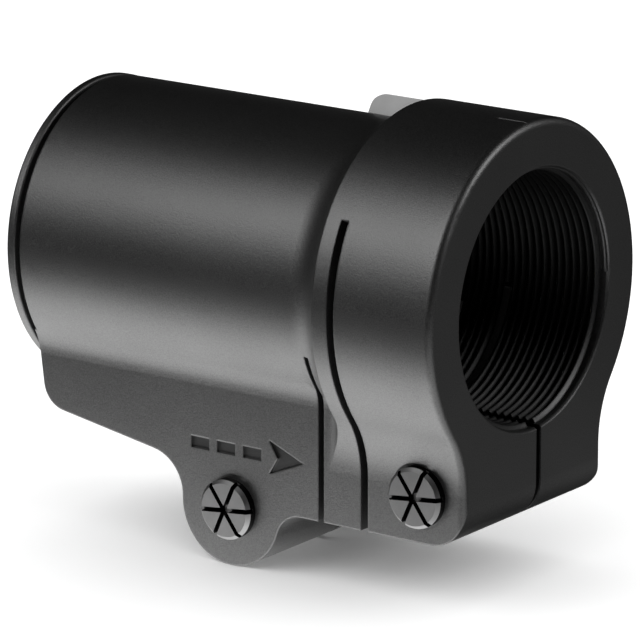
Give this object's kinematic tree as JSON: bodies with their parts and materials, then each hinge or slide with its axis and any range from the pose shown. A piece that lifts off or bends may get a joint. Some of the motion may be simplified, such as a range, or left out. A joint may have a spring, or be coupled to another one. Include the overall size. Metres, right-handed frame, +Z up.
{
  "type": "laser collimator",
  "caption": "Dark anodised laser collimator with a split clamp ring, internal thread, keel with two pinch screws, sliding laser cartridge, battery cap and push button.",
  "frame": {"origin": "centre of the front thread's mouth, on the housing's front face", "axes": "+X leaves the mouth along the beam, +Z is up, away from the keel; the clamp screws' heads are on the -Y side"},
  "size_m": [0.0619, 0.0412, 0.0541],
  "materials": {
    "anodised": "satin, bead-blasted and dark anodised",
    "cell_black": "matt black anodised",
    "bare_aluminium": "fine turned",
    "screw_steel": "satin",
    "spring_steel": "bright drawn",
    "crown_glass": "polished, coated",
    "flint_glass": "polished",
    "pad_rubber": "matt silicone",
    "seal_rubber": "satin",
    "brass": "turned",
    "gold_plate": "plated",
    "flex_film": "polyimide film",
    "board": "solder mask",
    "chip": "moulded epoxy",
    "tray": "moulded",
    "cell_can": "nickel plated"
  },
  "bodies": {
    "root": {"housing": "anodised", "front_clamp_nut": "screw_steel", "rear_clamp_nut": "screw_steel", "lens_cell": "cell_black", "lens_retaining_ring": "cell_black", "crown_lens": "crown_glass", "flint_lens": "flint_glass", "switch_dome": "gold_plate", "switch_board": "flex_film", "switch_lead": "flex_film"},
    "cartridge": {"cartridge_barrel": "bare_aluminium", "aperture_stop": "cell_black", "diode_holder": "brass", "diode_holder_nut": "brass", "laser_diode": "gold_plate", "diode_retainer": "brass", "driver_board": "board", "board_components": "chip", "battery_contact": "gold_plate", "battery_tray": "tray", "battery": "cell_can"},
    "front_screw": {"front_clamp_screw": "screw_steel"},
    "rear_screw": {"rear_clamp_screw": "screw_steel"},
    "seal": {"cap_seal": "seal_rubber"},
    "cap": {"rear_cap": "anodised", "battery_spring": "spring_steel"},
    "button": {"button_pad": "pad_rubber"}
  },
  "joints": [
    {"name": "cartridge_focus", "type": "slide", "parent": "root", "child": "cartridge", "axis": [1, 0, 0], "range_m": [0, 0.0012]},
    {"name": "front_screw_turn", "type": "hinge", "parent": "root", "child": "front_screw", "pos_m": [-0.0061, -0.0139, -0.02065], "axis": [0, -1, 0], "range_deg": [0, 360]},
    {"name": "rear_screw_turn", "type": "hinge", "parent": "root", "child": "rear_screw", "pos_m": [-0.0324, -0.0139, -0.0267], "axis": [0, -1, 0], "range_deg": [0, 360]},
    {"name": "cap_travel", "type": "slide", "parent": "root", "child": "seal", "axis": [-1, 0, 0], "range_m": [0, 0.005]},
    {"name": "cap_turn", "type": "hinge", "parent": "seal", "child": "cap", "pos_m": [-0.0612, 0, 0], "axis": [-1, 0, 0], "range_deg": [0, 1800]},
    {"name": "button_press", "type": "slide", "parent": "root", "child": "button", "axis": [0, -0.5299, -0.848], "range_m": [0, 0.0004], "stiffness_N_per_m": 3000}
  ],
  "couplings": [
    {"joint": "cap_travel", "follows": "cap_turn", "m_per_rad": 0.00015915}
  ]
}
